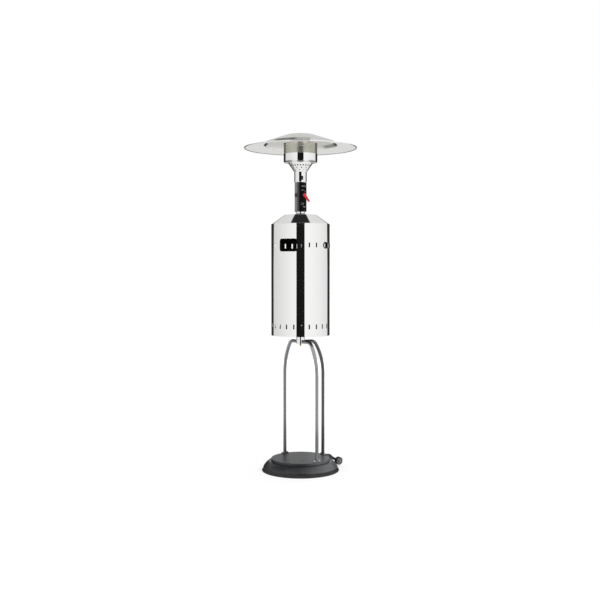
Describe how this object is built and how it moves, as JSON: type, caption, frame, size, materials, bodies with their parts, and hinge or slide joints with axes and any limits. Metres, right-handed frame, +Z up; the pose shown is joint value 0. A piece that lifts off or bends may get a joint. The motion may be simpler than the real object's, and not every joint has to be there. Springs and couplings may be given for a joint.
{
  "type": "portable propane heater",
  "caption": "Free-standing gas patio heater: round base, legs round a cylinder bay, steel housing that slides up a pole, burner bowl and wide round reflector.",
  "frame": {"origin": "on the floor under the pole, centre of the round base", "axes": "+Z up the pole; -Y is the front, towards the viewer of the control head; +X to the viewer's right"},
  "size_m": [0.7258, 0.7258, 2.1693],
  "materials": {
    "painted_base": "satin anthracite paint",
    "platform_paint": "satin dark grey paint",
    "ballast_iron": "rough cast",
    "edge_rubber": "matt",
    "leg_steel": "satin grey",
    "zinc_fastener": "bright zinc",
    "black_bracket": "gloss black paint",
    "wheel_plastic": "moulded",
    "wheel_tyre": "matt",
    "polished_steel": "mirror polished",
    "black_plastic": "fine texture",
    "bush_nylon": "smooth",
    "control_paint": "satin anthracite paint",
    "panel_gloss": "high gloss",
    "lever_red": "gloss",
    "valve_brass": "machined",
    "screen_steel": "heat tinted",
    "burner_steel": "heat tinted",
    "reflector_aluminium": "bright rolled"
  },
  "bodies": {
    "stand": {"base_edge_ring": "edge_rubber", "base_shell": "painted_base", "base_weight": "ballast_iron", "cylinder_platform": "platform_paint", "leg_front": "leg_steel", "leg_rear": "leg_steel", "leg_left": "leg_steel", "leg_feet": "leg_steel", "leg_bolts": "zinc_fastener", "leg_nuts": "zinc_fastener", "wheel_bracket": "black_bracket", "bracket_bolts": "zinc_fastener", "wheel_axle": "zinc_fastener", "axle_caps": "black_plastic", "pole": "polished_steel", "pole_plug": "black_plastic", "gas_inlet_nipple": "valve_brass", "gas_pipe": "valve_brass", "control_housing": "control_paint", "control_bottom_cap": "black_plastic", "control_top_cap": "polished_steel", "control_panel": "panel_gloss", "panel_screws": "zinc_fastener", "gas_valve": "valve_brass", "gas_injector": "valve_brass", "igniter_barrel": "black_plastic", "tilt_switch": "black_plastic", "burner_neck": "polished_steel", "mixing_tube": "burner_steel", "burner_bowl": "polished_steel", "burner_head": "burner_steel", "emitter_screen": "screen_steel", "emitter_top_plate": "burner_steel", "pilot_burner": "valve_brass", "thermocouple": "burner_steel", "spark_electrode": "burner_steel", "reflector_dome": "reflector_aluminium", "reflector_segment_1": "reflector_aluminium", "reflector_segment_2": "reflector_aluminium", "reflector_segment_3": "reflector_aluminium", "reflector_segment_4": "reflector_aluminium", "reflector_screws": "zinc_fastener", "reflector_studs": "zinc_fastener", "reflector_spacers": "zinc_fastener", "reflector_nuts": "zinc_fastener"},
    "tank_housing": {"housing_shell": "polished_steel", "housing_roof": "polished_steel", "guide_bush": "bush_nylon", "grip_right": "black_plastic", "grip_left": "black_plastic", "roof_rivets": "polished_steel"},
    "gas_lever": {"gas_lever": "lever_red", "lever_spindle": "zinc_fastener"},
    "igniter_button": {"igniter_button": "black_plastic"},
    "wheel_left": {"wheel_left_hub": "wheel_plastic", "wheel_left_tyre": "wheel_tyre"},
    "wheel_right": {"wheel_right_hub": "wheel_plastic", "wheel_right_tyre": "wheel_tyre"}
  },
  "joints": [
    {"name": "housing_lift", "type": "slide", "parent": "stand", "child": "tank_housing", "axis": [0, 0, 1], "range_m": [-0.799, 0]},
    {"name": "gas_lever_turn", "type": "hinge", "parent": "stand", "child": "gas_lever", "pos_m": [0.02513, -0.02995, 1.779], "axis": [0.6428, -0.766, 0], "range_deg": [-44, 46]},
    {"name": "igniter_press", "type": "slide", "parent": "stand", "child": "igniter_button", "axis": [0.7547, 0.6561, 0], "range_m": [0, 0.0045], "stiffness_N_per_m": 400},
    {"name": "wheel_left_spin", "type": "hinge", "parent": "stand", "child": "wheel_left", "pos_m": [0.22035, 0.15429, 0.036], "axis": [0.5736, -0.8192, 0], "continuous": true},
    {"name": "wheel_right_spin", "type": "hinge", "parent": "stand", "child": "wheel_right", "pos_m": [0.22035, 0.15429, 0.036], "axis": [0.5736, -0.8192, 0], "continuous": true}
  ]
}
